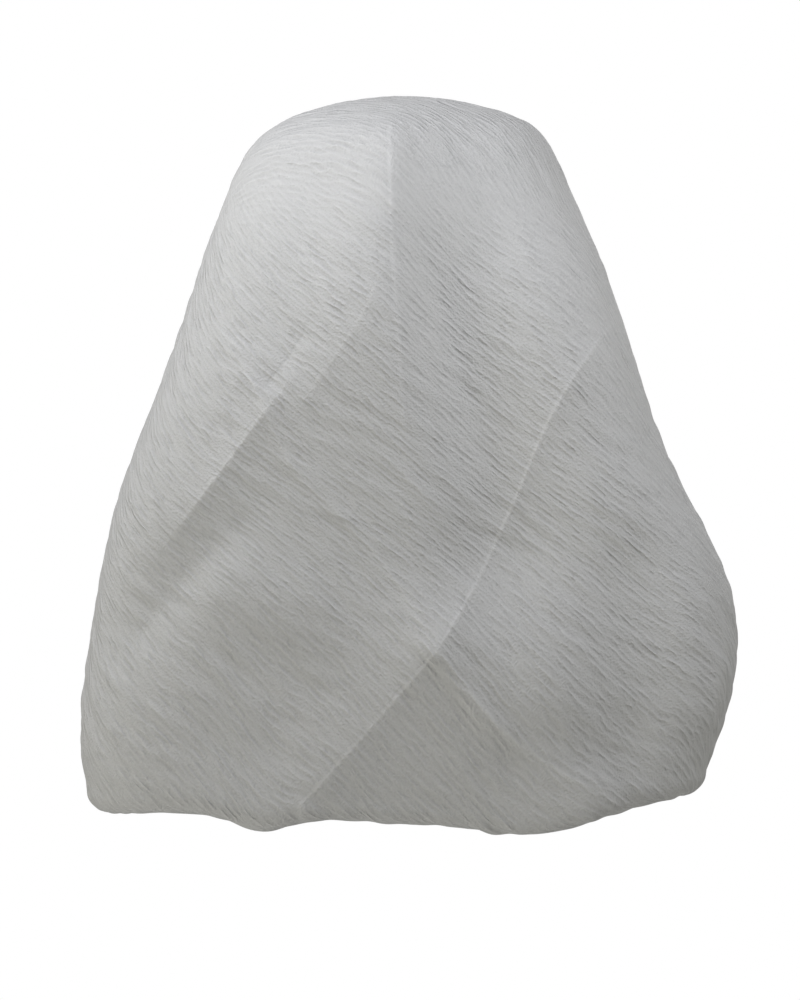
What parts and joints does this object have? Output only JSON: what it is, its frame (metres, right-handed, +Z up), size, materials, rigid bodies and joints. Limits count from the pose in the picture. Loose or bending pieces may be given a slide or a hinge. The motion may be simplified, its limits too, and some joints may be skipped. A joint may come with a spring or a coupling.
{
  "type": "pre-tied bandana",
  "caption": "Crinkled cloth bandana in its worn form: hollow crown, long back drape with pressed folds, hemmed face edge and a knotted nape tie.",
  "frame": {"origin": "inside top of the crown, where the cloth rests on the head", "axes": "+Z up along the head, +Y the way the wearer faces, +X the wearer's right"},
  "size_m": [0.2485, 0.2004, 0.2797],
  "materials": {
    "crinkle_cloth": "pale grey crinkled gauze, matt",
    "hem_cloth": "the same cloth, turned in and stitched",
    "tie_cloth": "the same cloth, folded into a flat tie"
  },
  "bodies": {
    "root": {"drape": "crinkle_cloth", "front_hem": "hem_cloth", "nape_tie": "tie_cloth"}
  },
  "joints": []
}
